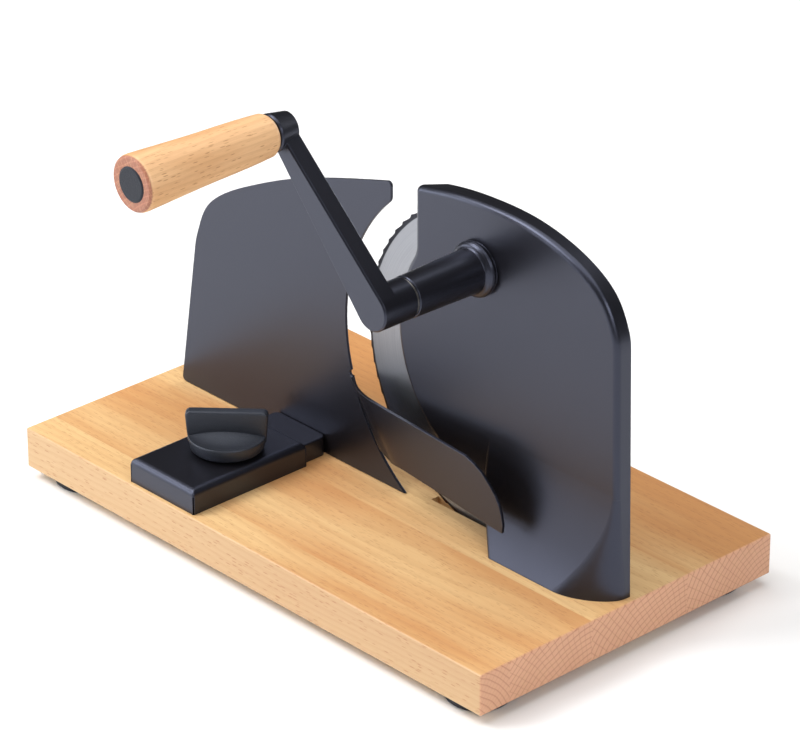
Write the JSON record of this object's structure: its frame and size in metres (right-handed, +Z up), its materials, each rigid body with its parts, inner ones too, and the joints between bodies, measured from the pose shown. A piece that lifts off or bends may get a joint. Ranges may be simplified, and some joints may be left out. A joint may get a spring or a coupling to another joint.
{
  "type": "bread slicer with crank",
  "caption": "hand cranked bread slicer: toothed round blade on a cast upright, adjustable stop plate with clamp knob, wooden base on rubber feet",
  "frame": {"origin": "on the table plane under the middle of the wooden base", "axes": "+Z up; +X along the base towards the upright's outer side, the longest way; +Y away from the crank's grip, so that the crank and blade axes are along Y"},
  "size_m": [0.34, 0.2634, 0.2586],
  "materials": {
    "beech_board": "oiled beech, glued staves",
    "beech_grip": "oiled turned beech",
    "black_coat": "satin black powder coat",
    "blade_steel": "fine ground stainless steel",
    "gear_steel": "plain steel, lightly oiled",
    "bush_brass": "turned brass",
    "screw_steel": "zinc plated steel",
    "black_plastic": "fine grained black plastic",
    "foot_rubber": "black rubber"
  },
  "bodies": {
    "base": {"board": "beech_board", "rubber_feet": "foot_rubber", "foot_screws": "screw_steel", "housing": "black_coat", "housing_screws": "screw_steel", "front_bush": "bush_brass", "rear_bush": "bush_brass", "blade_axle": "gear_steel", "axle_washer": "screw_steel", "axle_screw": "screw_steel", "clamp_box": "black_coat", "clamp_box_screws": "screw_steel", "clamp_nut": "screw_steel"},
    "crank": {"crank_shaft": "gear_steel", "crank_pin": "gear_steel", "crank_arm": "black_coat", "grip_spindle": "screw_steel", "drive_gear": "gear_steel", "gear_key": "gear_steel"},
    "grip": {"grip": "beech_grip", "grip_cap": "black_plastic"},
    "blade": {"blade": "blade_steel", "blade_gear": "gear_steel", "blade_rivets": "gear_steel", "blade_bush": "bush_brass"},
    "carriage": {"stop_plate": "black_coat", "slide_bar": "black_coat", "plate_screws": "screw_steel"},
    "knob": {"clamp_knob": "black_plastic", "clamp_stud": "screw_steel", "clamp_pad": "screw_steel"}
  },
  "joints": [
    {"name": "crank_spin", "type": "hinge", "parent": "base", "child": "crank", "pos_m": [0.0678, -0.06, 0.1739], "axis": [0, 1, 0], "continuous": true},
    {"name": "blade_spin", "type": "hinge", "parent": "base", "child": "blade", "pos_m": [0.071, 0.003, 0.11248], "axis": [0, 1, 0], "continuous": true},
    {"name": "grip_spin", "type": "hinge", "parent": "crank", "child": "grip", "pos_m": [0, -0.12, 0.2443], "axis": [0, 1, 0], "continuous": true},
    {"name": "plate_slide", "type": "slide", "parent": "base", "child": "carriage", "axis": [0, 1, 0], "range_m": [-0.01, 0.0075]},
    {"name": "knob_turn", "type": "hinge", "parent": "base", "child": "knob", "pos_m": [-0.0622, -0.055, 0.05], "axis": [0, 0, 1], "range_deg": [0, 180]}
  ],
  "couplings": [
    {"joint": "blade_spin", "follows": "crank_spin", "ratio": -0.64}
  ]
}
